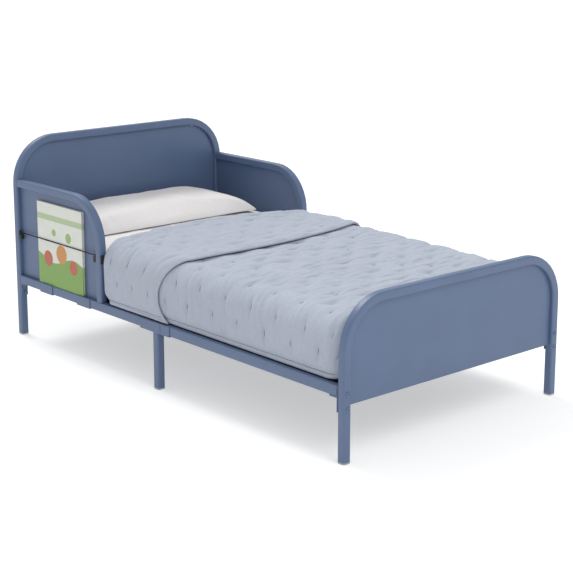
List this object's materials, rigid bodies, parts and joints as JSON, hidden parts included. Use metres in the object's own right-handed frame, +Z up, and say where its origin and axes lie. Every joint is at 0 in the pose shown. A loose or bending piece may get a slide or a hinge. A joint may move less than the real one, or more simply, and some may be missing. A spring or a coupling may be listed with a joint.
{
  "type": "toddler bed",
  "caption": "Low steel toddler bed with rounded headboard and footboard, two guardrails, a book rack on one side, mattress, pillow and quilt.",
  "frame": {"origin": "on the floor, under the middle of the bed", "axes": "+Y towards the headboard, +Z up, and -X is the side with the book rack"},
  "size_m": [0.7436, 1.3786, 0.574],
  "materials": {
    "frame_paint": "satin slate-blue powder coat",
    "bolt_steel": "slate-blue painted button heads",
    "cap_plastic": "smoky translucent moulded plastic",
    "black_rubber": "matt black elastic cord and moulded rubber",
    "mattress_cover": "plain woven mattress ticking",
    "sheet_cotton": "cream cotton sheet, plain weave",
    "pillow_cotton": "off-white cotton pillowcase, plain weave",
    "quilt_cotton": "washed blue-grey cotton, hand-quilted with short stitches",
    "book_card": "laminated printed board with paper pages"
  },
  "bodies": {
    "root": {"headboard_tube": "frame_paint", "footboard_tube": "frame_paint", "headboard_panel": "frame_paint", "footboard_panel": "frame_paint", "head_cross_rail": "frame_paint", "foot_cross_rail": "frame_paint", "left_rail_head": "frame_paint", "left_rail_foot": "frame_paint", "left_head_bracket": "frame_paint", "left_foot_bracket": "frame_paint", "left_rail_joiner": "frame_paint", "left_middle_leg": "frame_paint", "left_guardrail_tube": "frame_paint", "left_guardrail_panel": "frame_paint", "left_guardrail_clamp_1": "frame_paint", "left_guardrail_clamp_2": "frame_paint", "right_rail_head": "frame_paint", "right_rail_foot": "frame_paint", "right_head_bracket": "frame_paint", "right_foot_bracket": "frame_paint", "right_rail_joiner": "frame_paint", "right_middle_leg": "frame_paint", "right_guardrail_tube": "frame_paint", "right_guardrail_panel": "frame_paint", "right_guardrail_clamp_1": "frame_paint", "right_guardrail_clamp_2": "frame_paint", "centre_beam": "frame_paint", "slat_1": "frame_paint", "slat_2": "frame_paint", "slat_3": "frame_paint", "slat_4": "frame_paint", "slat_5": "frame_paint", "slat_6": "frame_paint", "slat_7": "frame_paint", "slat_8": "frame_paint", "left_head_bolt_upper": "bolt_steel", "left_head_bolt_lower": "bolt_steel", "left_foot_bolt_upper": "bolt_steel", "left_foot_bolt_lower": "bolt_steel", "right_head_bolt_upper": "bolt_steel", "right_head_bolt_lower": "bolt_steel", "right_foot_bolt_upper": "bolt_steel", "right_foot_bolt_lower": "bolt_steel", "left_guardrail_bolt": "bolt_steel", "right_guardrail_bolt": "bolt_steel", "left_head_leg_cap": "cap_plastic", "left_middle_leg_cap": "cap_plastic", "left_foot_leg_cap": "cap_plastic", "right_head_leg_cap": "cap_plastic", "right_middle_leg_cap": "cap_plastic", "right_foot_leg_cap": "cap_plastic", "rack_anchor_head": "black_rubber", "rack_anchor_front": "black_rubber", "rack_cord": "black_rubber"},
    "mattress": {"mattress": "mattress_cover", "fitted_sheet": "sheet_cotton"},
    "pillow": {"pillow": "pillow_cotton"},
    "quilt": {"quilt": "quilt_cotton"},
    "book": {"picture_book": "book_card"}
  },
  "joints": [
    {"name": "mattress_lift", "type": "slide", "parent": "root", "child": "mattress", "axis": [0, 0, 1], "range_m": [0, 0.3]},
    {"name": "pillow_lift", "type": "slide", "parent": "mattress", "child": "pillow", "axis": [0, 0, 1], "range_m": [0, 0.16]},
    {"name": "quilt_lift", "type": "slide", "parent": "mattress", "child": "quilt", "axis": [0, 0, 1], "range_m": [0, 0.15]},
    {"name": "book_slide", "type": "slide", "parent": "root", "child": "book", "axis": [0, 1, 0], "range_m": [-0.026, 0.082]}
  ]
}
